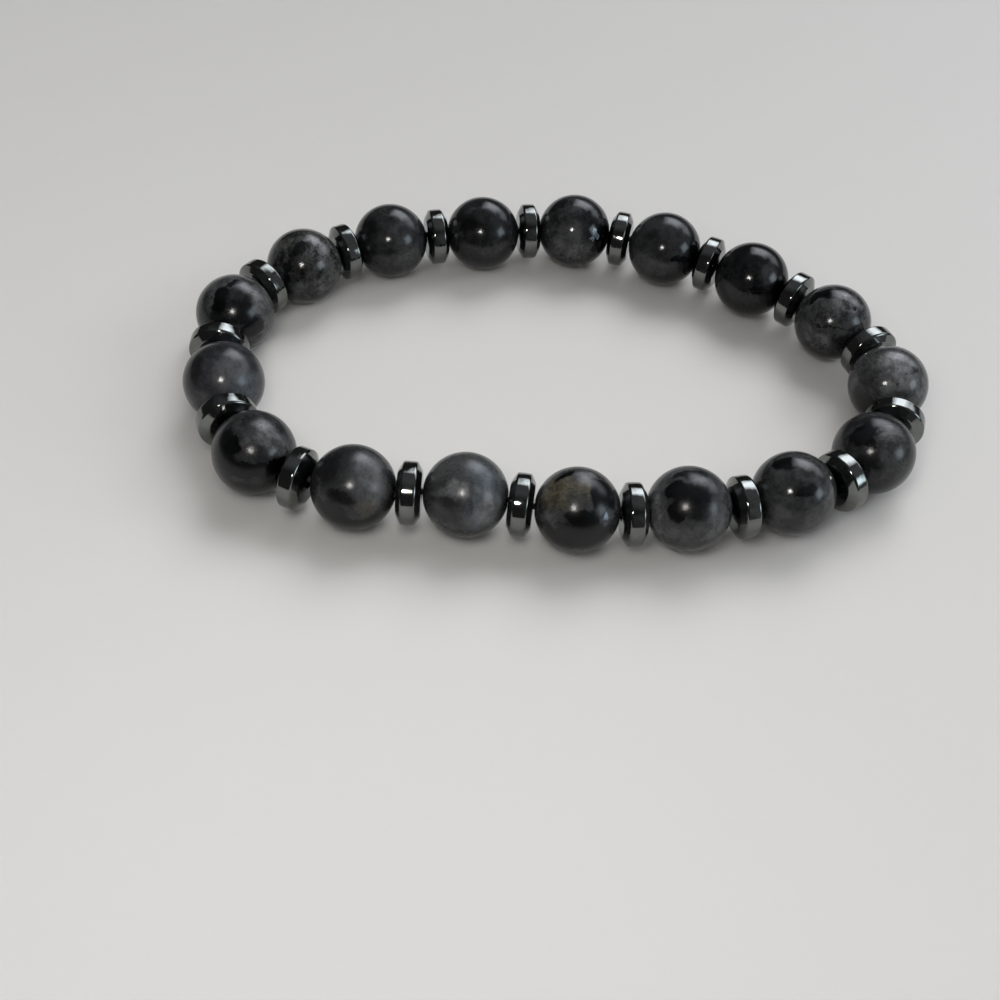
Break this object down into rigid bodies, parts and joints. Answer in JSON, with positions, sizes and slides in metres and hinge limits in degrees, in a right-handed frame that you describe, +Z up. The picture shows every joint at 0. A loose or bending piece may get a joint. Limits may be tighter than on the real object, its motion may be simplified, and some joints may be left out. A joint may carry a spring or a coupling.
{
  "type": "gemstone bead bracelet",
  "caption": "Stretch bracelet of round polished dark stone beads and thin metallic-black spacers on an elastic cord, lying as an oval.",
  "frame": {"origin": "middle of the oval in plan, on the surface that the beads rest on", "axes": "+Z up through the wrist hollow, +X along the long way of the oval, +Y across it, away from the side that the picture shows nearest"},
  "size_m": [0.0754, 0.0504, 0.008],
  "materials": {
    "bead_stone": "high polish, mottled dark grey with black patches and a faint blue sheen",
    "spacer_hematite": "mirror polish, metallic black",
    "cord_elastic": "matte black"
  },
  "bodies": {
    "root": {"bead_01": "bead_stone", "bead_02": "bead_stone", "bead_03": "bead_stone", "bead_04": "bead_stone", "bead_05": "bead_stone", "bead_06": "bead_stone", "bead_07": "bead_stone", "bead_08": "bead_stone", "bead_09": "bead_stone", "bead_10": "bead_stone", "bead_11": "bead_stone", "bead_12": "bead_stone", "bead_13": "bead_stone", "bead_14": "bead_stone", "bead_15": "bead_stone", "bead_16": "bead_stone", "bead_17": "bead_stone", "spacer_01": "spacer_hematite", "spacer_02": "spacer_hematite", "spacer_03": "spacer_hematite", "spacer_04": "spacer_hematite", "spacer_05": "spacer_hematite", "spacer_06": "spacer_hematite", "spacer_07": "spacer_hematite", "spacer_08": "spacer_hematite", "spacer_09": "spacer_hematite", "spacer_10": "spacer_hematite", "spacer_11": "spacer_hematite", "spacer_12": "spacer_hematite", "spacer_13": "spacer_hematite", "spacer_14": "spacer_hematite", "spacer_15": "spacer_hematite", "spacer_16": "spacer_hematite", "spacer_17": "spacer_hematite", "elastic_cord": "cord_elastic"}
  },
  "joints": []
}
